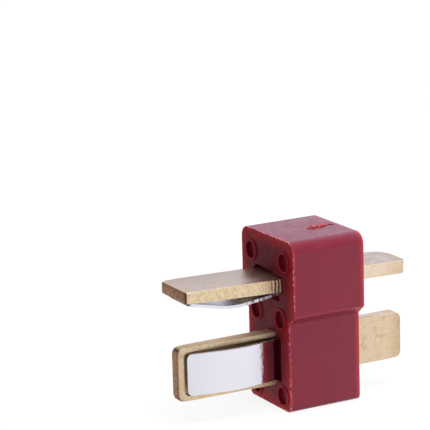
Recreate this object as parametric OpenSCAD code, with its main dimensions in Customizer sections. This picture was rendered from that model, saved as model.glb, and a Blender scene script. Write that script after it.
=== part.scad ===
// Plug half of a T-shaped two-pole battery connector.
// It stands on the narrow end of its housing. The blades point to -Y and the solder tabs to +Y,
// and the origin is the centre of the bottom end face.

/* [Housing] */
// Height of the housing along the row of contacts
housing_h = 16; // [15:0.1:20]
// Depth of the housing from its mating face to its solder face
housing_d = 7.4; // [7.2:0.1:12]
// Thickness of the wide part, round the contact that lies across
wide_w = 9.3; // [8.6:0.1:12]
// Thickness of the narrow part, round the contact that stands upright
narrow_w = 7.35; // [6.8:0.05:8.2]
// Height at which the wide part starts
step_z = 9.15; // [9.15:0.05:9.3]
// Height of the slope that leads up to the wide part
step_slope = 0.8; // [0.4:0.1:1.4]
// Radius of the two long edges at the top
top_r = 1.1; // [0.4:0.1:1.6]
// Radius of the two long edges at the bottom
foot_r = 0.5; // [0.2:0.1:1]

/* [Contact blades] */
// Width of each blade
blade_w = 5; // [4.5:0.1:5.2]
// Thickness of each blade at the housing, and of its solder tab
blade_t = 1.25; // [1.15:0.05:1.35]
// Thickness of each blade at its tip, thinner on the leaf's side
tip_t = 1.1; // [1.05:0.05:1.15]
// Length of the positive blade in front of the housing
positive_out = 9.75; // [9.55:0.05:12]
// Length of the negative blade in front of the housing
negative_out = 10; // [9.55:0.05:12]
// Radius of the corners at the blades' tips
blade_r = 0.65; // [0.2:0.05:1.4]
// Radius of the one sharper tip corner, on the positive blade
sharp_r = 0.35; // [0.2:0.05:1.4]
// Height of the positive blade's middle
positive_z = 11.65; // [11.5:0.05:11.9]
// How far the positive blade leans up towards its tip, in degrees
positive_tilt = 1.4; // [0:0.1:2]
// Height of the negative blade's middle
negative_z = 4.6; // [4.4:0.05:4.7]
// Distance of the negative blade's middle plane from the housing's
negative_x = 0.515; // [0:0.005:0.7]

/* [Solder tabs] */
// Width of each solder tab
tab_w = 4.4; // [3:0.1:4.9]
// Length of tab behind the housing
tab_out = 6.1; // [3:0.1:10]
// Radius of the corners at the tab's end
tab_r = 0.65; // [0.3:0.05:1.2]
// Length of full-width blade behind the recess, up to the shoulder of the tab
shoulder_land = 0.6; // [0.3:0.1:0.8]

/* [Leaf springs] */
// Width of a leaf
leaf_w = 3.85; // [3.2:0.05:4]
// Thickness of a leaf
leaf_t = 0.3; // [0.2:0.01:0.32]
// Distance of the leaf's tip in front of the housing
tip_out = 9.15; // [8.6:0.05:9.15]
// Distance in front of the housing at which the leaf's two slopes would meet
crown_out = 4.6; // [4:0.1:5.2]
// Height above the face of the blade at which they would meet
crown_h = 1.1; // [0.8:0.05:1.2]
// Radius of the crown that joins them
crown_r = 8; // [2:0.5:10]
// Height of the leaf's tip above the face of the blade where the blade is thickest
tip_h = 0.2; // [0.18:0.01:0.3]
// Radius of the corners at the leaf's tip
leaf_r = 0.45; // [0.2:0.05:1]
// Distance inside the housing of the bend where the leaf starts to rise
bend_in = 4.4; // [4:0.1:4.5]
// Radius of that bend
bend_r = 3; // [1:0.1:5]
// Length of the flat root behind the bend
root_l = 0.8; // [0.6:0.1:0.9]

/* [Recess in each blade] */
// Depth of the recess that takes the leaf
recess_t = 0.6; // [0.55:0.01:0.75]
// Radius of the corners at the recess's front end
recess_r = 0.45; // [0.1:0.05:0.8]
// Gap between the leaf and each side of the recess
side_gap = 0.075; // [0.05:0.005:0.15]
// Gap between the leaf's tip and the front end of the recess
tip_gap = 0.1; // [0.05:0.01:0.15]
// Gap between the leaf's root and the rear end of the recess
end_gap = 0.2; // [0.1:0.01:0.3]
// Gap between the leaf's root and the floor of the recess
root_gap = 0.08; // [0.05:0.01:0.1]

/* [Openings in the mating face] */
// Height of the pocket over each leaf, from the face of the blade
pocket_h = 1; // [0.8:0.05:1.1]
// Depth of the pocket into the housing
pocket_d = 3; // [2:0.1:3.2]
// Gap between the leaf and each side of the pocket
pocket_gap = 0.1; // [0.1:0.01:0.25]
// Gap round each blade at the mouth of its slot
mouth_gap = 0.12; // [0.05:0.01:0.15]
// Depth of that gap
mouth_d = 0.5; // [0.2:0.1:1]
// Width of the notch in the slot's edge, over the positive blade
notch_w = 3.3; // [1:0.1:4]
// Height of the notch above the blade
notch_h = 0.4; // [0.2:0.05:0.6]
// Distance of the notch's middle from the middle of the blade
notch_x = -0.7; // [-0.8:0.05:0]

/* [Moulding marks] */
// Diameter of each sunk ejector mark
mark_d = 1.6; // [1:0.1:1.7]
// Depth of each mark
mark_deep = 0.25; // [0.1:0.05:0.5]
// Width of the lip round each mark
lip_w = 0.2; // [0.1:0.05:0.2]
// Height of the lip
lip_h = 0.12; // [0.05:0.01:0.15]
// Distance of the top marks from the middle, and below the top end
mark_top = [2.95, 2.05]; // [2:0.05:3.4]
// Distance of the middle marks from the middle, and below the wide part
mark_mid = [2.15, 0.65]; // [0.5:0.05:2.5]
// Distance of the bottom marks from the middle, and above the bottom end
mark_low = [2.35, 1.3]; // [1.2:0.05:2.5]
// Width of the gate scar in the top end
gate_w = 0.55; // [0.3:0.05:0.8]
// Length of the gate scar
gate_l = 2.6; // [1:0.1:3.4]
// Depth of the gate scar
gate_deep = 0.15; // [0.05:0.05:0.3]
// Distance of the scar from the middle plane
gate_x = 0.25; // [-1:0.05:1]
// Distance of the scar from the solder face
gate_back = 0.6; // [0.4:0.1:2]

/* [Hidden] */
$fn = 48;
red = [0.56, 0.20, 0.27];
gold = [0.83, 0.72, 0.52];
silver = [0.88, 0.88, 0.92];

// How far a cut runs past the surface that it opens
past = 1;
// Steps along each bend of a leaf
bend_steps = 6;
crown_steps = 16;

mating_y = -housing_d / 2;
solder_y = housing_d / 2;
recess_in = bend_in + root_l + end_gap;
shoulder_in = recess_in + shoulder_land;
recess_w = leaf_w + 2 * side_gap;
pocket_w = leaf_w + 2 * pocket_gap;

// The leaf's middle line, as distance in front of the housing and height above the blade's face
root_h = root_gap + leaf_t / 2 - recess_t;
bend = [-bend_in, root_h];
crown = [crown_out, crown_h - leaf_t / 2];
tip = [tip_out, tip_h - leaf_t / 2];
rise_a = atan2(crown[1] - bend[1], crown[0] - bend[0]);
fall_a = atan2(tip[1] - crown[1], tip[0] - crown[0]);

// Points [along, height, heading] of an arc that rounds the corner p between two headings
function rounded(p, a0, a1, r, steps) =
    let (turn = a1 - a0,
         side = sign(turn),
         t = r * tan(abs(turn) / 2),
         start = p - t * [cos(a0), sin(a0)],
         middle = start + side * r * [-sin(a0), cos(a0)])
    [for (i = [0:steps])
        let (a = a0 + turn * i / steps)
        [middle[0] + side * r * sin(a), middle[1] - side * r * cos(a), a]];

leaf_line = concat(
    [[bend[0] - root_l, bend[1], 0]],
    rounded(bend, 0, rise_a, bend_r, bend_steps),
    rounded(crown, rise_a, fall_a, crown_r, crown_steps),
    [[tip[0], tip[1], fall_a]]);

// The leaf's edge line on one side of its middle line
function leaf_side(side) =
    [for (p = leaf_line)
        [p[0] - side * leaf_t / 2 * sin(p[2]), p[1] + side * leaf_t / 2 * cos(p[2])]];
function reversed(list) = [for (i = [len(list) - 1:-1:0]) list[i]];

// A strip from y = 0 to y = l whose two corners at y = 0 are round, the right one by its own radius
module round_nosed(w, l, r, right_r) {
    translate([-w / 2, r])
        square([w / 2, l - r]);
    translate([0, right_r])
        square([w / 2, l - right_r]);
    translate([r - w / 2, 0])
        square([w - r - right_r, l]);
    translate([r - w / 2, r])
        circle(r);
    translate([w / 2 - right_r, right_r])
        circle(right_r);
}

// The two places of a contact. In its own frame a contact lies flat, its leaf is on -Z,
// and the mating face of the housing is at y = 0
module at_positive() {
    translate([0, 0, positive_z])
        rotate([-positive_tilt, 0, 0])
            translate([0, mating_y, 0])
                children();
}

module at_negative() {
    translate([negative_x, mating_y, negative_z])
        rotate([0, -90, 0])
            children();
}

// Blade and solder tab without the recess, which is also the shape of the slot that holds them
module contact_strip(out, right_r) {
    translate([0, 0, -blade_t / 2])
        linear_extrude(blade_t) {
            translate([0, -out])
                round_nosed(blade_w, out + shoulder_in, blade_r, right_r);
            translate([0, housing_d + tab_out])
                mirror([0, 1])
                    round_nosed(tab_w, tab_out + housing_d - recess_in, tab_r, tab_r);
        }
}

// The wedge by which a blade is thinner at its tip than at the housing
module taper(out) {
    translate([-blade_w / 2 - past, 0, -blade_t / 2])
        rotate([-atan2(blade_t - tip_t, out), 0, 0])
            translate([0, -out - past, -past])
                cube([blade_w + 2 * past, out + past, past]);
}

module contact(out, right_r) {
    difference() {
        contact_strip(out, right_r);
        taper(out);
        translate([0, -tip_out - tip_gap, -blade_t / 2 - past])
            linear_extrude(past + recess_t)
                round_nosed(recess_w, tip_out + tip_gap + recess_in, recess_r, recess_r);
    }
}

module leaf() {
    intersection() {
        translate([-leaf_w / 2, 0, -blade_t / 2])
            rotate([90, 0, 90])
                linear_extrude(leaf_w)
                    scale([-1, -1])
                        polygon(concat(leaf_side(1), reversed(leaf_side(-1))));
        translate([0, -tip_out - leaf_t / 2, -blade_t / 2 - crown_h - past])
            linear_extrude(crown_h + recess_t + 2 * past)
                round_nosed(leaf_w + 2 * past, tip_out + housing_d, leaf_r + past, leaf_r + past);
    }
}

// What the housing is cut away by, round one contact
module contact_slot(out) {
    contact_strip(out, blade_r);
    translate([-blade_w / 2 - mouth_gap, -past, -blade_t / 2 - mouth_gap])
        cube([blade_w + 2 * mouth_gap, past + mouth_d, blade_t + 2 * mouth_gap]);
    translate([-tab_w / 2 - mouth_gap, housing_d - mouth_d, -blade_t / 2 - mouth_gap])
        cube([tab_w + 2 * mouth_gap, past + mouth_d, blade_t + 2 * mouth_gap]);
    translate([-pocket_w / 2, -past, -blade_t / 2 - pocket_h])
        cube([pocket_w, past + pocket_d, pocket_h + blade_t / 2]);
}

// Outline of the housing, seen along the blades
module housing_outline() {
    round_nosed(narrow_w, step_z, foot_r, foot_r);
    translate([0, housing_h])
        mirror([0, 1])
            round_nosed(wide_w, housing_h - step_z, top_r, top_r);
    polygon([
        [-narrow_w / 2, step_z - step_slope],
        [narrow_w / 2, step_z - step_slope],
        [wide_w / 2, step_z],
        [-wide_w / 2, step_z],
    ]);
}

// Every place of an ejector mark, as x and z
mark_places = [for (side = [-1, 1])
    each [
        [side * mark_top[0], housing_h - mark_top[1]],
        [side * mark_mid[0], step_z - mark_mid[1]],
        [side * mark_low[0], mark_low[1]],
    ]];

module at_marks() {
    for (place = mark_places)
        translate([place[0], mating_y, place[1]])
            rotate([90, 0, 0])
                children();
}

module housing() {
    color(red)
        difference() {
            union() {
                translate([0, solder_y, 0])
                    rotate([90, 0, 0])
                        linear_extrude(housing_d)
                            housing_outline();
                at_marks()
                    translate([0, 0, -mark_deep])
                        cylinder(d = mark_d + 2 * lip_w, h = mark_deep + lip_h);
            }
            at_marks()
                translate([0, 0, -mark_deep])
                    cylinder(d = mark_d, h = mark_deep + past);
            at_positive()
                contact_slot(positive_out);
            at_negative()
                contact_slot(negative_out);
            at_positive()
                translate([notch_x - notch_w / 2, -past, 0])
                    cube([notch_w, past + mouth_d, blade_t / 2 + notch_h]);
            gate_scar();
        }
}

// A shallow round-bottomed groove whose radius follows from its width and depth
module gate_scar() {
    r = (gate_w * gate_w / 4 + gate_deep * gate_deep) / (2 * gate_deep);
    translate([gate_x, solder_y - gate_back, housing_h + r - gate_deep])
        rotate([90, 0, 0])
            cylinder(r = r, h = gate_l);
}

module positive_blade() {
    color(gold)
        at_positive()
            contact(positive_out, sharp_r);
}

module negative_blade() {
    color(gold)
        at_negative()
            contact(negative_out, blade_r);
}

module positive_spring() {
    color(silver)
        at_positive()
            leaf();
}

module negative_spring() {
    color(silver)
        at_negative()
            leaf();
}

housing();
positive_blade();
negative_blade();
positive_spring();
negative_spring();
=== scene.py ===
# %% [markdown]
# # Plug half of a T-shaped battery connector
# The plug is a red nylon block with two flat gold-plated contacts through it, one lying across the
# wide part and one standing upright in the narrow part. A bright leaf spring sits in a recess of each
# blade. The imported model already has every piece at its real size. This script dresses it: each piece
# is modelled again at the same place with softened edges, moulding marks and a finish of its own.

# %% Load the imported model
import math

import bmesh
import bpy
from mathutils import Matrix, Vector


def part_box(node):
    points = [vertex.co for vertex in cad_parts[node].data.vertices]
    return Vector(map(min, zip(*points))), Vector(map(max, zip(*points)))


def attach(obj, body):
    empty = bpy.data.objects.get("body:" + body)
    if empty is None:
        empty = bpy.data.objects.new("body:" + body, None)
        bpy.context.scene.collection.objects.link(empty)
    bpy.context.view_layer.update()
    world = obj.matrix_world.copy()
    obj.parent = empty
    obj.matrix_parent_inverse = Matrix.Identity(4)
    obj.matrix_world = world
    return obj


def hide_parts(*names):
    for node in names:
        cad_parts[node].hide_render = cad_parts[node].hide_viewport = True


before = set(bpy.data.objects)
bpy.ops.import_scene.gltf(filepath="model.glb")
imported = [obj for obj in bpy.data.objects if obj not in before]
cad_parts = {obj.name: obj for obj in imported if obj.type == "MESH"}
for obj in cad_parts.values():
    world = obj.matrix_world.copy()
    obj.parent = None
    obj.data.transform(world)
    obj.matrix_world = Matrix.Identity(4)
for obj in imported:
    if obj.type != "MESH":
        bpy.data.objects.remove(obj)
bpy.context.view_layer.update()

# %% [markdown]
# Blender works in metres and this plug is measured in millimetres, so one small function turns the
# sizes over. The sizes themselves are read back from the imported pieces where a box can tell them.

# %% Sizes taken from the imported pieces
def mm(size):
    return size / 1000


housing_low, housing_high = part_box("housing")
wide_w = housing_high.x - housing_low.x
housing_h = housing_high.z - housing_low.z
solder_y = housing_high.y
mating_y = -solder_y
housing_d = solder_y - mating_y
upright_low, upright_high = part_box("negative_blade")
blade_t = upright_high.x - upright_low.x
blade_w = upright_high.z - upright_low.z
negative_out = mating_y - upright_low.y
tab_out = upright_high.y - solder_y
print("housing mm", [round(v * 1000, 2) for v in (wide_w, housing_d, housing_h)])
print("blade mm", [round(v * 1000, 2) for v in (blade_w, blade_t, negative_out, tab_out)])

# %% [markdown]
# The camera comes first, so that every later step can be looked at from where the photograph was
# taken. It looks at a point beside the plug, because the plug stands low and to the right in the
# picture. A long lens from 200 mm away gives the slight perspective of a product photograph.

# %% Camera
AZIMUTH = math.radians(61.93)
ELEVATION = math.radians(13.63)
ROLL = math.radians(-1.75)
AIM = Vector((mm(-5.732), mm(-5.844), mm(16.934)))
DISTANCE = mm(200)
SENSOR = 36.0
LENS = 182.36

camera_data = bpy.data.cameras.new("camera")
camera_data.sensor_width = SENSOR
camera_data.lens = LENS
camera_data.clip_start = mm(5)
camera_data.clip_end = 20
camera = bpy.data.objects.new("camera", camera_data)
bpy.context.collection.objects.link(camera)
back = Vector((math.sin(AZIMUTH) * math.cos(ELEVATION),
               -math.cos(AZIMUTH) * math.cos(ELEVATION),
               math.sin(ELEVATION)))
level = Vector((math.cos(AZIMUTH), math.sin(AZIMUTH), 0))
upward = back.cross(level)
right = level * math.cos(ROLL) + upward * math.sin(ROLL)
top = upward * math.cos(ROLL) - level * math.sin(ROLL)
turn = Matrix((right, top, back)).transposed()
camera.matrix_world = Matrix.Translation(AIM + back * DISTANCE) @ turn.to_4x4()
bpy.context.scene.camera = camera
bpy.context.scene.view_settings.view_transform = "Standard"
print("camera at mm", [round(v * 1000, 1) for v in camera.location])

# %% [markdown]
# A few helpers make and cut the pieces. A flat outline is drawn as one face and its corners are
# rounded by a vertex bevel, as a press tool's corners are. The face is then pulled out to a solid.
# Holes are cut by taking one solid away from another: a cutter stands where the mould's core stood.

# %% Helpers for meshes
def outline(points):
    """A bmesh with one face through the given points."""
    mesh = bmesh.new()
    corners = [mesh.verts.new(p) for p in points]
    mesh.faces.new(corners)
    return mesh


def round_corners(mesh, chosen, radius, segments=6):
    """Round the chosen corners of a flat outline."""
    corners = [v for v in mesh.verts if chosen(v.co)]
    bmesh.ops.bevel(mesh, geom=corners, affect="VERTICES", offset=radius, segments=segments,
                    profile=0.5, material=-1)


def pull_out(mesh, step):
    """Pull the outline's face out along a vector, so that it becomes a closed solid."""
    grown = bmesh.ops.extrude_face_region(mesh, geom=list(mesh.faces))
    moved = [e for e in grown["geom"] if isinstance(e, bmesh.types.BMVert)]
    bmesh.ops.translate(mesh, verts=moved, vec=step)
    bmesh.ops.recalc_face_normals(mesh, faces=list(mesh.faces))


def block(low, high):
    """A closed box between two corners."""
    mesh = bmesh.new()
    size = Vector(high) - Vector(low)
    place = Matrix.Translation((Vector(low) + Vector(high)) / 2) @ Matrix.Diagonal((*size, 1))
    bmesh.ops.create_cube(mesh, size=1, matrix=place)
    return mesh


def cylinder(radius, low, high, segments=48):
    """A closed cylinder along Z between two heights."""
    mesh = bmesh.new()
    middle = Matrix.Translation((0, 0, (low + high) / 2))
    bmesh.ops.create_cone(mesh, cap_ends=True, segments=segments, radius1=radius, radius2=radius,
                          depth=high - low, matrix=middle)
    return mesh


def to_object(mesh, name, place=Matrix.Identity(4)):
    """Turn a bmesh into an object at the origin, with its place in its mesh."""
    bmesh.ops.transform(mesh, matrix=place, verts=list(mesh.verts))
    data = bpy.data.meshes.new(name)
    mesh.to_mesh(data)
    mesh.free()
    made = bpy.data.objects.new(name, data)
    bpy.context.collection.objects.link(made)
    return made


def settle(piece):
    """Replace the piece's mesh by what its modifiers make of it."""
    seen = piece.evaluated_get(bpy.context.evaluated_depsgraph_get())
    data = bpy.data.meshes.new_from_object(seen)
    piece.modifiers.clear()
    piece.data = data


def combine(piece, others, operation="DIFFERENCE"):
    """Cut the other solids out of a piece, or join them to it."""
    for other in others:
        step = piece.modifiers.new(other.name, "BOOLEAN")
        step.operation = operation
        step.solver = "EXACT"
        step.object = other
    settle(piece)
    for other in others:
        bpy.data.objects.remove(other)


def soften(piece, width, segments=2, sharper_than=35):
    """Round off every edge that is sharper than an angle, with smooth shading between."""
    piece.data.shade_smooth()
    step = piece.modifiers.new("soft edges", "BEVEL")
    step.width = width
    step.segments = segments
    step.limit_method = "ANGLE"
    step.angle_limit = math.radians(sharper_than)
    step.harden_normals = True
    settle(piece)
    print(piece.name, "has", len(piece.data.polygons), "faces")


# %% [markdown]
# Both contacts are built in one frame of their own: the strip lies flat, its leaf is underneath, and
# y = 0 is the mating face of the housing. Two matrices then seat them in the housing. The positive
# one lies across and leans up a little towards its tip, and the negative one stands on edge.

# %% Places of the two contacts
POSITIVE_Z = mm(11.65)
POSITIVE_LEAN = math.radians(1.4)
upright_middle = (upright_low + upright_high) / 2
to_face = Matrix.Translation((0, mating_y, 0))
at_positive = Matrix.Translation((0, 0, POSITIVE_Z)) @ Matrix.Rotation(-POSITIVE_LEAN, 4, "X") @ to_face
at_negative = (Matrix.Translation((upright_middle.x, 0, upright_middle.z))
               @ Matrix.Rotation(math.radians(-90), 4, "Y") @ to_face)
for way, place in (("lying", at_positive), ("upright", at_negative)):
    print(way, "contact leaves the face at mm", [round(v * 1000, 2) for v in place.translation])

# %% [markdown]
# ## The contact strips
# Each contact is one stamped strip: blade in front, solder tab behind, with a shoulder hidden in the
# housing. The outline is pressed out of sheet, and a shallow recess with round corners is sunk in
# the face that carries the leaf. The press leaves soft edges, which the bevel gives back. The edge
# round the tip is softer still, so that the blade slides in easily. One corner of the lying strip's
# tab is much rounder than the rest.

# %% Sizes of a strip
TAB_W = mm(4.4)
TAB_R = mm(0.65)
TAB_ROUND_R = mm(1.7)
HAIR = mm(0.01)
BLADE_R = mm(0.65)
SHARP_R = mm(0.35)
TIP_T = mm(1.1)
POSITIVE_OUT = mm(9.75)
SHOULDER_IN = mm(6.0)
RECESS_W = mm(4.0)
RECESS_DEEP = mm(0.6)
RECESS_OUT = mm(9.25)
RECESS_IN = mm(5.4)
RECESS_R = mm(0.45)
STRIP_EDGE = mm(0.09)
TIP_EDGE = mm(0.2)
PAST = mm(1)


def recess():
    """The solid that is taken out of a strip for its leaf."""
    half, front = RECESS_W / 2, -RECESS_OUT
    shape = outline([(-half, front, 0), (half, front, 0), (half, RECESS_IN, 0), (-half, RECESS_IN, 0)])
    round_corners(shape, lambda co: co.y < 0, RECESS_R)
    pull_out(shape, (0, 0, PAST + RECESS_DEEP))
    return to_object(shape, "recess", Matrix.Translation((0, 0, -blade_t / 2 - PAST)))


def taper(out):
    """The wedge that thins a blade towards its tip."""
    wedge = block((-PAST - blade_w / 2, -out - PAST, -PAST), (PAST + blade_w / 2, 0, 0))
    slope = math.atan2(blade_t - TIP_T, out)
    at_face = Matrix.Translation((0, 0, -blade_t / 2)) @ Matrix.Rotation(-slope, 4, "X")
    return to_object(wedge, "taper", at_face)


def ease_tip(piece, out):
    """Round off the edge between the broad faces and the end of the tip."""
    mesh = bmesh.new()
    mesh.from_mesh(piece.data)
    behind = -out + BLADE_R + 2 * HAIR
    # The sharp edges of the tip that border a broad face
    tip = [e for e in mesh.edges if e.calc_face_angle(0) > 1
           and all(v.co.y < behind for v in e.verts)
           and any(abs(f.normal.z) > 0.9 for f in e.link_faces)]
    bmesh.ops.bevel(mesh, geom=tip, affect="EDGES", offset=TIP_EDGE, segments=3, profile=0.5, material=-1)
    mesh.to_mesh(piece.data)
    mesh.free()


def strip(name, out, sharp_r, tab_r, place):
    """Blade and solder tab in one piece, with a radius for each of the tab's two corners."""
    half, tab = blade_w / 2, TAB_W / 2
    end = housing_d + tab_out
    shape = outline([(-half, -out, 0), (half, -out, 0), (half, SHOULDER_IN, 0),
                     (tab, SHOULDER_IN, 0), (tab, end, 0), (-tab, end, 0),
                     (-tab, SHOULDER_IN, 0), (-half, SHOULDER_IN, 0)])
    round_corners(shape, lambda co: co.y < -PAST and co.x > half - HAIR, sharp_r)
    round_corners(shape, lambda co: co.y < -PAST and co.x < HAIR - half, BLADE_R)
    for side, radius in zip((-1, 1), tab_r):
        round_corners(shape, lambda co: co.y > end - HAIR and abs(co.x - side * tab) < HAIR, radius)
    pull_out(shape, (0, 0, blade_t))
    piece = to_object(shape, name, Matrix.Translation((0, 0, -blade_t / 2)))
    combine(piece, [taper(out)])
    ease_tip(piece, out)
    combine(piece, [recess()])
    soften(piece, STRIP_EDGE, segments=3)
    piece.data.transform(place)
    return piece


positive_strip = strip("positive_strip", POSITIVE_OUT, SHARP_R, (TAB_ROUND_R, TAB_R), at_positive)
negative_strip = strip("negative_strip", negative_out, BLADE_R, (TAB_R, TAB_R), at_negative)

# %% [markdown]
# ## The leaf springs
# A leaf is blanked flat and then bent, and it is modelled the same way. The flat blank gets its round
# tip corners and is sliced across its length. A function walks along the bent line and tells, for a
# distance along the blank, where the line is and which way it heads. Every vertex goes there.

# %% Sizes of a leaf
LEAF_W = mm(3.85)
LEAF_T = mm(0.3)
LEAF_R = mm(0.45)
LEAF_EDGE = mm(0.04)
ROOT_L = mm(0.8)
ROOT_CLEAR = mm(0.08)
BEND_IN = mm(4.4)
BEND_R = mm(3)
CROWN_OUT = mm(4.6)
CROWN_H = mm(1.1)
CROWN_R = mm(8)
TIP_OUT = mm(9.15)
TIP_H = mm(0.2)
LEAF_SLICES = 56

root_h = ROOT_CLEAR + LEAF_T / 2 - RECESS_DEEP
crown_h = CROWN_H - LEAF_T / 2
tip_h = TIP_H - LEAF_T / 2
rise = math.atan2(crown_h - root_h, CROWN_OUT + BEND_IN)
fall = math.atan2(tip_h - crown_h, TIP_OUT - CROWN_OUT)
bend_cut = BEND_R * math.tan(rise / 2)
crown_cut = CROWN_R * math.tan((rise - fall) / 2)
rise_l = math.hypot(CROWN_OUT + BEND_IN, crown_h - root_h) - bend_cut - crown_cut
fall_l = math.hypot(TIP_OUT - CROWN_OUT, crown_h - tip_h) - crown_cut
# Each stretch of the bent line as its length and the angle that it turns through
stretches = [(ROOT_L - bend_cut, 0), (BEND_R * rise, rise), (rise_l, 0),
             (CROWN_R * (rise - fall), fall - rise), (fall_l, 0)]
blank_l = sum(length for length, _ in stretches)
print("leaf blank mm", round(blank_l * 1000, 2))


def along_leaf(distance):
    """Place in front of the housing, height above the blade's face, and heading of the bent line."""
    out, height, heading = -BEND_IN - ROOT_L, root_h, 0.0
    for length, angle in stretches:
        step = min(distance, length)
        turned = angle * step / length
        chord = step if angle == 0 else 2 * length / angle * math.sin(turned / 2)
        out += chord * math.cos(heading + turned / 2)
        height += chord * math.sin(heading + turned / 2)
        heading += turned
        distance -= step
    return out, height, heading


def leaf(name, place):
    """Blank the leaf flat, slice it, give it its thickness and bend it."""
    half = LEAF_W / 2
    shape = outline([(-half, 0, 0), (half, 0, 0), (half, blank_l, 0), (-half, blank_l, 0)])
    round_corners(shape, lambda co: co.y > blank_l - HAIR, LEAF_R)
    for cut in range(1, LEAF_SLICES):
        everything = list(shape.verts) + list(shape.edges) + list(shape.faces)
        bmesh.ops.bisect_plane(shape, geom=everything, plane_co=(0, blank_l * cut / LEAF_SLICES, 0),
                               plane_no=(0, 1, 0))
    pull_out(shape, (0, 0, LEAF_T))
    for vert in shape.verts:
        out, height, heading = along_leaf(vert.co.y)
        lift = vert.co.z - LEAF_T / 2
        vert.co.y = -(out - lift * math.sin(heading))
        vert.co.z = -blade_t / 2 - (height + lift * math.cos(heading))
    bmesh.ops.recalc_face_normals(shape, faces=list(shape.faces))
    piece = to_object(shape, name, place)
    soften(piece, LEAF_EDGE, segments=2, sharper_than=50)
    return piece


positive_leaf = leaf("positive_leaf_spring", at_positive)
negative_leaf = leaf("negative_leaf_spring", at_negative)

# %% [markdown]
# ## The housing
# The housing is one nylon moulding. Its outline seen along the blades is a wide block on a narrow
# one with a slope between. Cutters then make the two slots, the pocket beside each leaf, the marks
# of the ejector pins, the gate scar and the sunk polarity signs on the solder face.

# %% Sizes of the housing
NARROW_W = mm(7.35)
STEP_Z = mm(9.15)
STEP_SLOPE = mm(0.8)
TOP_R = mm(1.1)
FOOT_R = mm(0.5)
MOUTH_GAP = mm(0.12)
MOUTH_DEEP = mm(0.5)
POCKET_W = mm(4.05)
POCKET_H = mm(1)
POCKET_DEEP = mm(3)
NOTCH_X = mm(-0.7)
NOTCH_W = mm(3.3)
NOTCH_H = mm(0.4)
TAB_SLOT_IN = mm(1)
HOUSING_EDGE = mm(0.08)
REAR_EDGE = mm(0.1)


def housing_block():
    """The plain moulding: its outline pulled out from face to face."""
    wide, narrow = wide_w / 2, NARROW_W / 2
    half = [(narrow, 0), (narrow, STEP_Z - STEP_SLOPE), (wide, STEP_Z), (wide, housing_h)]
    points = half + [(-x, z) for x, z in reversed(half)]
    shape = outline([(x, mating_y, z) for x, z in points])
    round_corners(shape, lambda co: co.z > housing_h - HAIR, TOP_R, segments=12)
    round_corners(shape, lambda co: co.z < HAIR, FOOT_R, segments=6)
    pull_out(shape, (0, housing_d, 0))
    rear = [e for e in shape.edges if all(v.co.y > 0 for v in e.verts)]
    bmesh.ops.bevel(shape, geom=rear, affect="EDGES", offset=REAR_EDGE, segments=3, profile=0.5,
                    material=-1, clamp_overlap=True)
    return to_object(shape, "nylon_housing")


def slot_cutters(name, place):
    """The solids that open the housing round one contact."""
    half, tab, thick = blade_w / 2, TAB_W / 2, blade_t / 2
    gap = MOUTH_GAP
    return [
        to_object(block((-half, -PAST, -thick), (half, SHOULDER_IN, thick)), name + " slot", place),
        to_object(block((-tab, TAB_SLOT_IN, -thick), (tab, housing_d + PAST, thick)),
                  name + " tab slot", place),
        to_object(block((-half - gap, -PAST, -thick - gap), (half + gap, MOUTH_DEEP, thick + gap)),
                  name + " mouth", place),
        to_object(block((-tab - gap, housing_d - MOUTH_DEEP, -thick - gap),
                        (tab + gap, housing_d + PAST, thick + gap)), name + " tab mouth", place),
        to_object(block((-POCKET_W / 2, -PAST, -thick - POCKET_H), (POCKET_W / 2, POCKET_DEEP, 0)),
                  name + " pocket", place),
    ]


housing = housing_block()
notch = to_object(block((NOTCH_X - NOTCH_W / 2, -PAST, 0),
                        (NOTCH_X + NOTCH_W / 2, MOUTH_DEEP, blade_t / 2 + NOTCH_H)), "notch", at_positive)
combine(housing, slot_cutters("positive", at_positive) + slot_cutters("negative", at_negative) + [notch])
print("housing with its slots has", len(housing.data.polygons), "faces")

# %% [markdown]
# Six ejector pins pushed the moulding out by its mating face. Each left a round dent with a raised
# lip. The lip is a short cylinder joined on and the dent a narrower one cut out, so both share
# one list of places.

# %% Ejector marks
MARK_R = mm(0.8)
MARK_DEEP = mm(0.25)
LIP_W = mm(0.2)
LIP_H = mm(0.1)
mark_places = [(side * x, z)
               for side in (-1, 1)
               for x, z in ((mm(2.95), mm(13.95)), (mm(2.15), mm(8.5)), (mm(2.35), mm(1.3)))]


def at_mark(x, z):
    """A mark's own frame: its Z points out of the mating face."""
    return Matrix.Translation((x, mating_y, z)) @ Matrix.Rotation(math.radians(90), 4, "X")


lips = [to_object(cylinder(MARK_R + LIP_W, -MARK_DEEP, LIP_H), "lip", at_mark(x, z))
        for x, z in mark_places]
combine(housing, lips, "UNION")
dents = [to_object(cylinder(MARK_R, -MARK_DEEP, PAST), "dent", at_mark(x, z)) for x, z in mark_places]
combine(housing, dents)
print("ejector marks", len(mark_places))

# %% [markdown]
# The plastic entered the mould at the top end. The gate left a short groove there with a row of torn
# lumps in it. The solder face carries a sunk plus beside the positive tab and a sunk minus beside the
# negative one, so that the wires go on the right way round.

# %% Gate scar and polarity signs
GATE_X = mm(0.25)
GATE_BACK = mm(0.6)
GATE_L = mm(2.6)
GATE_W = mm(0.55)
GATE_DEEP = mm(0.15)
# The radius of a round cutter that is as wide as the groove where it enters the top
gate_r = (GATE_W * GATE_W / 4 + GATE_DEEP * GATE_DEEP) / (2 * GATE_DEEP)
along_gate = (Matrix.Translation((GATE_X, solder_y - GATE_BACK, housing_h + gate_r - GATE_DEEP))
              @ Matrix.Rotation(math.radians(90), 4, "X"))
gate = to_object(cylinder(gate_r, 0, GATE_L), "gate", along_gate)


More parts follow.
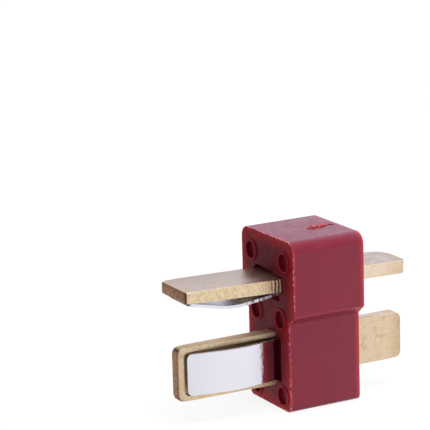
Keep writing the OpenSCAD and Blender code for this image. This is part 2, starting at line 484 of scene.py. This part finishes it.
def nub(aside, back, radius, tall):
    """A lump of torn plastic in the gate scar."""
    mesh = bmesh.new()
    bmesh.ops.create_icosphere(mesh, subdivisions=2, radius=radius)
    bmesh.ops.scale(mesh, vec=(0.9, 1.2, tall), verts=list(mesh.verts))
    place = (GATE_X + aside, solder_y - GATE_BACK - back, housing_h)
    return to_object(mesh, "nub", Matrix.Translation(place))


# How far each lump is aside and back, its radius in mm, and how tall it is for its radius
lumps = ((0.02, 2.45, 0.26, 0.45), (-0.06, 2.05, 0.32, 0.7), (0.08, 1.65, 0.24, 0.6),
         (-0.02, 1.25, 0.30, 0.75), (0.04, 0.85, 0.20, 0.6))
nubs = [nub(mm(aside), mm(back), mm(radius), tall) for aside, back, radius, tall in lumps]

SIGN_L = mm(2)
SIGN_W = mm(0.35)
SIGN_DEEP = mm(0.2)
PLUS_AT = (mm(-1.1), mm(8.7))
MINUS_AT = (mm(-1.8), mm(4.6))


def sign_bar(x, z, across, tall):
    """One sunk bar in the solder face."""
    low = (x - across / 2, solder_y - SIGN_DEEP, z - tall / 2)
    high = (x + across / 2, solder_y + PAST, z + tall / 2)
    return to_object(block(low, high), "sign")


signs = [sign_bar(*PLUS_AT, SIGN_L, SIGN_W), sign_bar(*PLUS_AT, SIGN_W, SIGN_L),
         sign_bar(*MINUS_AT, SIGN_W, SIGN_L)]
combine(housing, [gate] + signs)
combine(housing, nubs, "UNION")
soften(housing, HOUSING_EDGE)

# %% [markdown]
# Every new piece stands for one imported piece and rides on its body.

# %% Seat the pieces on the imported model
dressed = [(housing, "housing", "plug", "housing"),
           (positive_strip, "positive_blade", "plug", "blade"),
           (negative_strip, "negative_blade", "plug", "blade"),
           (positive_leaf, "positive_spring", "positive_leaf", "spring"),
           (negative_leaf, "negative_spring", "negative_leaf", "spring")]
for piece, node, body, slot in dressed:
    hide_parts(node)
    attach(piece, body)
    print(piece.name, "stands for", node, "on", body)

# %% [markdown]
# ## Finishes
# A material is easier to read as a formula than as a picture of nodes. The class below wraps a
# socket, so that sums and products of sockets add their Math nodes, and the second class adds every
# other kind of node by one method.

# %% Shader helpers
class Value:
    """A socket that can be used in sums and products."""

    def __init__(self, graph, socket):
        self.graph = graph
        self.socket = socket

    def __add__(self, other):
        return self.graph.maths("ADD", self, other)

    def __radd__(self, other):
        return self.graph.maths("ADD", other, self)

    def __sub__(self, other):
        return self.graph.maths("SUBTRACT", self, other)

    def __rsub__(self, other):
        return self.graph.maths("SUBTRACT", other, self)

    def __mul__(self, other):
        return self.graph.maths("MULTIPLY", self, other)

    def __rmul__(self, other):
        return self.graph.maths("MULTIPLY", other, self)


class Graph:
    """The node graph of one material, lamp or world."""

    def __init__(self, owner):
        owner.use_nodes = True
        self.tree = owner.node_tree
        self.tree.nodes.clear()

    def add(self, kind, settings=None, sockets=None, out=0):
        """Add a node, give it its settings and then its sockets, and return one output."""
        node = self.tree.nodes.new(kind)
        for name, value in (settings or {}).items():
            setattr(node, name, value)
        for name, value in (sockets or {}).items():
            if isinstance(value, Value):
                self.tree.links.new(value.socket, node.inputs[name])
            else:
                node.inputs[name].default_value = value
        return Value(self, node.outputs[out]) if node.outputs else None

    def maths(self, operation, first, second=0.0):
        return self.add("ShaderNodeMath", {"operation": operation}, {0: first, 1: second})

    def absolute(self, value):
        return self.maths("ABSOLUTE", value)

    def larger(self, first, second):
        return self.maths("MAXIMUM", first, second)

    def smaller(self, first, second):
        return self.maths("MINIMUM", first, second)

    def split(self, vector):
        """The three parts of a vector."""
        parts = self.add("ShaderNodeSeparateXYZ", None, {0: vector}).socket.node.outputs
        return [Value(self, part) for part in parts]

    def surface_place(self):
        """Where a spot of a piece lies, in metres, and the three parts of the way it faces."""
        return self.add("ShaderNodeTexCoord", out=3), self.split(self.add("ShaderNodeTexCoord", out=1))

    def blend(self, factor, first, second):
        """Mix two colours."""
        return self.add("ShaderNodeMix", {"data_type": "RGBA"}, {0: factor, 6: first, 7: second}, out=2)

    def noise(self, place, scale, detail=2.0, roughness=0.5, stretch=None):
        """Noise over a place, from 0 to 1, stretched by a vector where one is given."""
        if stretch:
            place = self.add("ShaderNodeMapping", None, {"Vector": place, "Scale": stretch})
        return self.add("ShaderNodeTexNoise", None, {"Vector": place, "Scale": scale, "Detail": detail,
                                                     "Roughness": roughness})

    def ramp(self, value, low, high, first=0.0, second=1.0):
        """Carry a range of values over to another, and hold it at both ends."""
        return self.add("ShaderNodeMapRange", {"interpolation_type": "SMOOTHSTEP"},
                        {"Value": value, "From Min": low, "From Max": high, "To Min": first,
                         "To Max": second})

    def band(self, value, middle, half_width):
        """1 on a line and 0 beyond a distance from it."""
        away = self.absolute(value - middle)
        return self.ramp(away, 0, half_width, 1, 0)


def rgb(red, green, blue):
    """A colour written as a picture shows it, turned into the linear values that nodes use."""
    linear = [(c / 255 / 12.92 if c <= 10 else ((c / 255 + 0.055) / 1.055) ** 2.4)
              for c in (red, green, blue)]
    return (*linear, 1)


# %% [markdown]
# Before a colour is mixed, a material has to know where on the piece a spot lies. Object coordinates
# are in metres, so a mask is a plain measure: how far a spot is from the moulding's outline, from the
# face with the blades, or above the top. Each mask is 1 on its part of the moulding and 0 off it.

# %% Masks on the moulding
def moulding_masks(g, place, looks):
    """The parts of the moulding that differ in colour."""
    x, y, z = g.split(place)
    ragged = g.noise(place, 2600, 3)
    face = g.ramp(g.absolute(looks[1]), 0.90, 0.99)
    # How far a spot is inside the outline of the moulding, seen along the blades
    half_w = g.ramp(z, STEP_Z - STEP_SLOPE, STEP_Z, NARROW_W / 2, wide_w / 2)
    inside = g.smaller(half_w - g.absolute(x), g.smaller(z, housing_h - z))
    front = g.band(y, mating_y, mm(0.30)) * g.ramp(inside, mm(0.35), mm(0.60), 1, 0)
    step = g.band(z, STEP_Z, mm(0.12)) * g.ramp(g.absolute(x), NARROW_W / 2, wide_w / 2)
    torn = g.ramp(z, housing_h + mm(0.01), housing_h + mm(0.06))
    nick = (g.band(y, mating_y, mm(0.14)) * g.ramp(inside, mm(0.06), mm(0.20), 1, 0)
            * g.ramp(g.noise(place, 3300, 2), 0.54, 0.60))
    return {
        "face": face,
        # border: a painted glow on each face near its outline
        "border": face * g.ramp(inside + ragged * mm(1.2), mm(0.8), mm(2.0), 1, 0),
        # raised: the lips of the ejector marks, which carry a painted highlight
        "raised": g.ramp(mating_y - y, mm(0.02), mm(0.07)),
        # A painted glow on the side faces next to the solder face
        "rear": g.band(y, solder_y, mm(0.60)) * (1 - face),
        # A painted highlight along the side rims next to the blade face, on the step line and on the torn
        # lumps
        "rim highlight": (front * (1 - face) + torn) * g.ramp(ragged, 0.35, 0.62, 0.1, 1.0) + step * 0.5,
        # pale: pale nicks in the rim, and a painted highlight on the torn lumps
        "pale": g.larger(nick * 0.6, torn * g.ramp(ragged, 0.35, 0.65, 0.05, 0.25)),
        "torn": torn,
        "slots": (g.ramp(inside, mm(0.3), mm(0.8)) * g.ramp(y, mating_y + mm(0.6), mating_y + mm(1.3))
                  * g.ramp(y, solder_y - mm(0.8), solder_y - mm(0.3), 1, 0)),
    }


# %% [markdown]
# Nylon is dull red and lets a little light in, so thin edges glow. Subsurface light gives part of that
# glow, and the rest is painted: a painted glow in brighter red near the outline of each face and on
# the side faces next to the solder face. A painted highlight, broken up by noise, runs along the side
# rims next to the blade face and along the step, and lies on the lips of the ejector marks and the torn
# lumps on top; pale nicks break the rims. The top end is the smoothest part of the mould, so it has the
# strongest sheen, and the face round the blades has the least. A clear coat whose weight follows the
# direction of the face gives that. The light that comes through the walls fills the slots and pockets
# with a faint red, which a weak emission stands for.

# %% Nylon
NYLON = rgb(136, 12, 44)
NYLON_DEEP = rgb(106, 7, 34)
NYLON_FACE = rgb(108, 7, 22)
NYLON_PAINTED_GLOW = rgb(165, 18, 30)
NYLON_RIM_HIGHLIGHT = rgb(206, 66, 86)
NYLON_REAR_GLOW = rgb(192, 38, 54)
NYLON_NICK_AND_HIGHLIGHT = rgb(232, 140, 150)
NYLON_GLOW = rgb(66, 12, 20)


def finish_with(piece, material):
    """Give a piece its one material."""
    piece.data.materials.clear()
    piece.data.materials.append(material)
    print(piece.name, "is finished in", material.name)


def nylon():
    """Red nylon: its colour part by part, its grain, and a coat that is strongest on top."""
    material = bpy.data.materials.new("red nylon")
    g = Graph(material)
    place, looks = g.surface_place()
    on = moulding_masks(g, place, looks)
    cloud = g.noise(place, 260, 3)
    grain = g.noise(place, 5200, 3)
    mottle = g.ramp(g.noise(place, 1500, 4, 0.65), 0.35, 0.70)
    streak = g.ramp(g.noise(place, 1900, 3, stretch=(1, 1, 0.10)), 0.30, 0.70)
    blotch = g.ramp(g.noise(place, 900, 3), 0.35, 0.65, 0.5, 1.0)
    colour = g.blend(cloud * 0.5 + streak * 0.18 + g.ramp(grain, 0.3, 0.7) * 0.32, NYLON_DEEP, NYLON)
    colour = g.blend(on["face"] * blotch, colour, NYLON_FACE)
    # Painted glow on the side faces next to the solder face
    colour = g.blend(on["rear"] * 0.7, colour, NYLON_REAR_GLOW)
    # Painted glow near the outline of each face, and a painted highlight on the lips of the ejector marks
    colour = g.blend(g.larger(on["border"] * 0.9, on["raised"] * 0.4), colour, NYLON_PAINTED_GLOW)
    # Painted highlight on the rims, the step line and the torn lumps
    colour = g.blend(g.smaller(on["rim highlight"] * 0.7, 0.7), colour, NYLON_RIM_HIGHLIGHT)
    # Pale nicks, and a painted highlight on the torn lumps
    colour = g.blend(on["pale"], colour, NYLON_NICK_AND_HIGHLIGHT)
    glow = g.blend(on["slots"], (0, 0, 0, 1), NYLON_GLOW)
    rough = 0.26 + grain * 0.08 + mottle * 0.10 + on["face"] * 0.16
    height = grain * 0.5 + cloud * 0.3 + mottle * 0.4
    bump = g.add("ShaderNodeBump", None, {"Strength": 0.4, "Distance": mm(0.012), "Height": height})
    # The coat is strongest on top, weaker on the sides, and less below the step and on torn plastic
    skyward = g.ramp(looks[2], 0.05, 0.75)
    coat = skyward * (0.50 - mottle * 0.25) + (1 - skyward) * (1 - on["face"]) * 0.6
    coat = coat * g.ramp(looks[2], -0.35, -0.10, 0.5, 1) * (1 - on["torn"] * 0.7)
    surface = g.add("ShaderNodeBsdfPrincipled", None, {
        "Base Color": colour, "Roughness": rough, "Normal": bump, "IOR": 1.50,
        "Specular IOR Level": 0.2, "Coat Weight": coat, "Coat Roughness": 0.18,
        "Emission Color": glow, "Emission Strength": 1.0,
        "Subsurface Weight": 0.25, "Subsurface Radius": (1.0, 0.18, 0.12),
        "Subsurface Scale": mm(0.7)})
    g.add("ShaderNodeOutputMaterial", None, {"Surface": surface})
    return material


finish_with(housing, nylon())

# %% [markdown]
# The strips need masks too. Whether a face is broad or sheared follows from the way it faces, and the
# blade, the tab and their ends follow from the place along the strip. Most masks are products of the
# two, such as the sheared edges of the blade close to the housing.

# %% Masks on a strip
tip_y = mating_y - negative_out
tab_end = solder_y + tab_out
print("upright strip along y mm", [round(v * 1000, 2) for v in (tip_y, tab_end)])


def strip_masks(g, place, looks, broad_axis):
    """The parts of a strip that differ in colour. Its broad faces look along X, axis 0, or Z, axis 2."""
    along = g.split(place)[1]
    broad = g.ramp(g.absolute(looks[broad_axis]), 0.6, 0.95)
    edge = 1 - broad
    blade = g.ramp(along, mating_y - mm(0.05), mating_y + mm(0.05), 1, 0)
    flattest = g.larger(g.absolute(looks[0]), g.larger(g.absolute(looks[1]), g.absolute(looks[2])))
    on = {
        "broad": broad,
        "edge": edge,
        "blade": blade,
        "tab": 1 - blade,
        "tab end": (1 - blade) * g.ramp(along, tab_end - mm(1.6), tab_end),
        "torn": edge * blade * g.ramp(along, mating_y - mm(1.6), mating_y - mm(0.5)),
        # The end of the tip, which carries a painted shade
        "end face": g.ramp(looks[1], -0.95, -0.35, 1, 0),
        # The rounding between the end of the tip and the sheared edges, painted dark as a painted shadow
        # line
        "tip corner": g.band(looks[1], -0.68, 0.30) * edge,
        # The rounded edges between broad and sheared faces, which carry a painted highlight
        "edge highlight": (g.ramp(flattest, 0.78, 0.96, 1, 0)
                      * g.ramp(g.absolute(looks[1]), 0.1, 0.4, 1, 0)),
        "near tip": broad * g.ramp(along + g.noise(place, 420, 3) * mm(1.5),
                                   tip_y + mm(0.6), tip_y + mm(2.6), 1, 0),
    }
    if broad_axis == 0:
        # A painted shade on the recess floor and rim along the leaf's upper edge, darker towards the
        # housing
        above = g.band(g.split(place)[2], upright_middle.z + mm(1.80), mm(0.55))
        on["above leaf"] = (above * g.ramp(looks[0], 0.6, 0.9) * blade
                            * g.ramp(along, tip_y + mm(0.6), mating_y, 0.15, 0.8))
    return on


# %% [markdown]
# The strips are brass under a thin pale gold plating. The broad faces are smooth with a faint orange
# peel, and those of the lying strip are painted greyer as a painted reflection of the pale studio. The
# sheared edges are specked, and just in front of the housing the press has torn brown, wavy furrows
# across them, which a wave texture draws. The end of the tip is painted browner as painted shade, and
# its corner darkest, a painted shadow line. The rounded edges between broad and sheared faces carry a
# painted highlight. The solder tabs are paler, with soft patches, and browner at their ends. On the
# upright strip a painted shade darkens the recess along the leaf's upper edge towards the housing.
#
# One function serves both strips. It takes what differs between them, because the lying strip has
# smooth broad faces and the upright one has rougher ones, and only the lying strip's broad faces carry
# the painted grey reflection.

# %% Gold-plated strip
GOLD = rgb(232, 207, 170)
GOLD_GREY_REFLECTION = rgb(203, 184, 166)
GOLD_LIGHT = rgb(255, 240, 192)
GOLD_PALE = rgb(255, 234, 214)
GOLD_WARM = rgb(224, 190, 146)
GOLD_WORN = rgb(196, 158, 108)
GOLD_TIP_SHADE = rgb(200, 138, 108)
GOLD_DARK = rgb(128, 88, 62)
GOLD_SHADE = rgb(96, 50, 36)


def plated(name, broad_axis, grey_reflection, specked, haze, edge_wear):
    """Plating for a strip whose broad faces look along one axis, 0 for X or 2 for Z.

    grey_reflection says how far the broad faces are painted greyer, a painted reflection, and specked how
    specked they are. haze is the roughness of the smoothest part, and edge_wear how evenly the sheared
    edges are worn.
    """
    material = bpy.data.materials.new(name)
    g = Graph(material)
    place, looks = g.surface_place()
    on = strip_masks(g, place, looks, broad_axis)
    broad, edge = on["broad"], on["edge"]
    peel = g.noise(place, 1500, 2)
    speck = g.noise(place, 7000, 3, 0.6, stretch=(0.6, 1.0, 0.6))
    furrow = g.add("ShaderNodeTexWave", {"bands_direction": "Y"},
                   {"Vector": place, "Scale": 960, "Distortion": 4, "Detail": 2,
                    "Detail Scale": 1.2}, out=1)
    stain = g.noise(place, 420, 3)
    patch = g.noise(place, 1100, 3, 0.6)
    light = (edge * (0.6 + on["blade"] * 0.1) * g.ramp(speck, 0.36, 0.62, 1, 0)
             + broad * specked * g.ramp(speck, 0.35, 0.62, 1, 0))
    worn = (g.ramp(stain, 0.45, 0.8) * 0.2 + on["tab end"] * 0.35
            + edge * on["blade"] * (g.ramp(speck, 0.50, 0.68) * 0.3 + edge_wear)
            + broad * on["blade"] * g.ramp(speck, 0.50, 0.70) * (specked * 0.5))
    # Painted reflection: the broad faces of the lying strip are painted greyer
    colour = g.blend(broad * grey_reflection, GOLD, GOLD_GREY_REFLECTION)
    colour = g.blend(on["near tip"] * (0.75 * grey_reflection), colour, GOLD_WARM)
    colour = g.blend(light, colour, GOLD_LIGHT)
    colour = g.blend(on["tab"] * g.ramp(patch, 0.35, 0.62) * (0.35 + edge * 0.35), colour, GOLD_PALE)
    browner = on["tab"] * broad * g.ramp(patch, 0.52, 0.72) * (0.5 * (1 - grey_reflection))
    colour = g.blend(browner, colour, GOLD_WORN)
    colour = g.blend(g.smaller(worn, 1.0), colour, GOLD_WORN)
    # Painted shade on the end of the tip
    colour = g.blend(on["end face"] * g.ramp(speck, 0.40, 0.60, 0.45, 1.0), colour, GOLD_TIP_SHADE)
    colour = g.blend(on["torn"] * g.ramp(furrow, 0.45, 0.75) * 0.7, colour, GOLD_DARK)
    # Painted shade along the leaf's upper edge
    if "above leaf" in on:
        colour = g.blend(on["above leaf"], colour, GOLD_SHADE)
    # Painted shadow line on the tip's corner
    colour = g.blend(on["tip corner"] * 0.9, colour, GOLD_SHADE)
    # Painted highlight on the rounded edges
    colour = g.blend(on["edge highlight"], colour, GOLD_LIGHT)
    rough = haze + edge * 0.08 + speck * 0.14 + stain * 0.05 - on["edge highlight"] * 0.12
    metal = 1 - on["end face"] * edge * (0.5 * (1 - grey_reflection))
    height = broad * (peel * 1.2 + speck) + edge * (furrow * (0.3 + on["torn"] * 2.2) + speck * 1.4)
    bump = g.add("ShaderNodeBump", None, {"Strength": 0.5, "Distance": mm(0.02), "Height": height})
    surface = g.add("ShaderNodeBsdfPrincipled", None, {
        "Base Color": colour, "Roughness": rough, "Normal": bump, "Metallic": metal})
    g.add("ShaderNodeOutputMaterial", None, {"Surface": surface})
    return material


finish_with(positive_strip, plated("gold plating, lying", 2, 0.9, 0.15, 0.26, 0.0))
finish_with(negative_strip, plated("gold plating, upright", 0, 0.0, 0.4, 0.40, 0.2))

# %% [markdown]
# The leaves are bright rolled strip, nearly a mirror, with the finest lines left by the rolls along
# their length. Bending has left them a little dull and wavy towards the housing, which breaks up the
# red that they mirror there. Their inner faces are duller, and their sheared edges are ticked with
# fine dark furrows near the bend.

# %% Bright leaf
SILVER = rgb(240, 240, 246)
SILVER_DULL = rgb(214, 210, 226)
SILVER_DARK = rgb(40, 34, 38)


def bright_leaf(name, edge_axis, broad_axis, inner):
    """A finish for a leaf whose edges and broad faces look along two axes, 0 for X or 2 for Z.

    The inner face looks the way of the sign given last, and is duller than the outer one.
    """
    material = bpy.data.materials.new(name)
    g = Graph(material)
    place, looks = g.surface_place()
    along = g.split(place)[1]
    edge = g.ramp(g.absolute(looks[edge_axis]), 0.6, 0.95)
    behind = g.ramp(looks[broad_axis] * inner, 0.3, 0.7)
    lines = g.noise(place, 6000, 2, stretch=(1.0, 0.05, 1.0))
    furrow = g.noise(place, 6500, 2, stretch=(0.2, 1.0, 0.2))
    haze = g.noise(place, 700, 2)
    near = edge * g.ramp(along, mating_y - mm(4.2), mating_y - mm(2.4))
    colour = g.blend(near * g.ramp(furrow, 0.50, 0.58) * 0.8, SILVER, SILVER_DARK)
    dull = (1 - edge) * g.ramp(along, mating_y - mm(3.5), mating_y - mm(1.2))
    colour = g.blend(dull * 0.6, colour, SILVER_DULL)
    rough = 0.03 + haze * 0.04 + lines * 0.02 + dull * 0.06 + edge * 0.30 + behind * 0.18
    wavy = dull * g.noise(place, 2600, 3) * 2.3
    height = (1 - edge) * lines * 0.2 + wavy + edge * furrow * (0.6 + near * 3.0)
    bump = g.add("ShaderNodeBump", None, {"Strength": 0.5, "Distance": mm(0.015), "Height": height})
    surface = g.add("ShaderNodeBsdfPrincipled", None, {
        "Base Color": colour, "Roughness": rough, "Normal": bump, "Metallic": 1.0})
    g.add("ShaderNodeOutputMaterial", None, {"Surface": surface})
    return material


finish_with(positive_leaf, bright_leaf("bright leaf, lying", 0, 2, 1))
finish_with(negative_leaf, bright_leaf("bright leaf, upright", 2, 0, -1))

# %% [markdown]
# ## Studio
# The plug stands on a white table under two soft lamps: a large one overhead and one on the right,
# where the photograph is brightest. The side that faces the blades gets little light. The table
# and the surroundings show white to the camera and in the metal, darker towards the blades' end.

# %% Floor
FLOOR_SIZE = 4.0
FLOOR_DROP = mm(0.02)
TABLE_GREY = (0.17, 0.17, 0.17, 1)
TABLE_TINT = (0.98, 0.96, 1, 1)
TABLE_LIT = 0.85
TABLE_FAR = 0.08
TABLE_MIRRORED = 0.72
TABLE_BOUNCE = 0.55
SHADE_ASIDE = 0.11
SHADE_DARKEST = 0.10
WHITE = (1, 1, 1, 1)

floor_mesh = bmesh.new()
bmesh.ops.create_grid(floor_mesh, x_segments=1, y_segments=1, size=FLOOR_SIZE / 2,
                      matrix=Matrix.Translation((0, 0, -FLOOR_DROP)))
floor = to_object(floor_mesh, "floor")


def shade_towards_tips(g, way):
    """How bright the studio is in one direction: darkest in front of the blades, white behind them."""
    across, along, _ = g.split(g.add("ShaderNodeVectorMath", {"operation": "NORMALIZE"}, {0: way}))
    return g.ramp(across * SHADE_ASIDE + along, -1.0, 0.45, SHADE_DARKEST, 1)


def rays(g):
    """Whether the camera sees a spot, and whether metal or glass mirrors it, each 0 or 1."""
    ray = g.add("ShaderNodeLightPath").socket.node.outputs
    mirrored = g.larger(Value(g, ray["Is Glossy Ray"]), Value(g, ray["Is Transmission Ray"]))
    return Value(g, ray["Is Camera Ray"]), mirrored


def table_top():
    """White to the camera, a dimmer white in the metal and as light on the plug."""
    material = bpy.data.materials.new("white table")
    g = Graph(material)
    place = g.add("ShaderNodeTexCoord", out=3)
    seen, mirrored = rays(g)
    # The direction from a point among the blades to a spot of the table, and how far off the spot is
    way = g.add("ShaderNodeVectorMath", {"operation": "ADD"}, {0: place, 1: (0, mm(12), 0)})
    distance = g.add("ShaderNodeVectorMath", {"operation": "LENGTH"}, {0: place}, out=1)
    far = g.ramp(distance, mm(60), mm(500))
    glow = (seen * (TABLE_LIT + far * TABLE_FAR) + mirrored * shade_towards_tips(g, way) * TABLE_MIRRORED
            + (1 - g.larger(seen, mirrored)) * TABLE_BOUNCE)
    lit = g.add("ShaderNodeBsdfDiffuse", None, {"Color": TABLE_GREY})
    tint = g.blend(mirrored, WHITE, TABLE_TINT)
    bright = g.add("ShaderNodeVectorMath", {"operation": "SCALE"}, {0: tint, "Scale": glow})
    shown = g.add("ShaderNodeEmission", None, {"Color": bright, "Strength": 1.0})
    surface = g.add("ShaderNodeAddShader", None, {0: lit, 1: shown})
    g.add("ShaderNodeOutputMaterial", None, {"Surface": surface})
    return material


finish_with(floor, table_top())

# %% [markdown]
# The surroundings are one even white for the camera. In the metal they run from dark in front of the
# blades to white behind the plug, and a little brighter overhead. Two square lamps do the lighting.

# %% World and lamps
AMBIENT = 0.42
WORLD_TINT = (0.86, 0.88, 1.04, 1)

world = bpy.data.worlds.new("studio")
bpy.context.scene.world = world
g = Graph(world)
outward = g.add("ShaderNodeTexCoord", out=0)
seen, mirrored = rays(g)
around = shade_towards_tips(g, outward) * g.ramp(g.split(outward)[2], 0.0, 0.8, 0.85, 1.3)
strength = AMBIENT + seen * (1 - AMBIENT) + mirrored * (around - AMBIENT)
tint = g.blend(mirrored, WHITE, WORLD_TINT)
bright = g.add("ShaderNodeVectorMath", {"operation": "SCALE"}, {0: tint, "Scale": strength})
background = g.add("ShaderNodeBackground", None, {"Color": bright, "Strength": 1.0})
g.add("ShaderNodeOutputWorld", None, {"Surface": background})
print("world light", AMBIENT)


def lamp(name, direction, distance, size, power):
    """A square area lamp that looks at the middle of the housing."""
    data = bpy.data.lights.new(name, "AREA")
    data.size = size
    data.energy = power
    made = bpy.data.objects.new(name, data)
    bpy.context.collection.objects.link(made)
    way = Vector(direction).normalized()
    middle = Vector((0, 0, housing_h / 2))
    made.matrix_world = (Matrix.Translation(middle + way * distance)
                         @ way.to_track_quat("Z", "Y").to_matrix().to_4x4())
    made.visible_glossy = False
    print("lamp", name, "at mm", [round(v * 1000) for v in made.location])


lamp("overhead", (0.1, 0.15, 1.0), mm(350), mm(220), 0.85)
lamp("right", (0.95, 0.15, 0.45), mm(320), mm(140), 0.55)
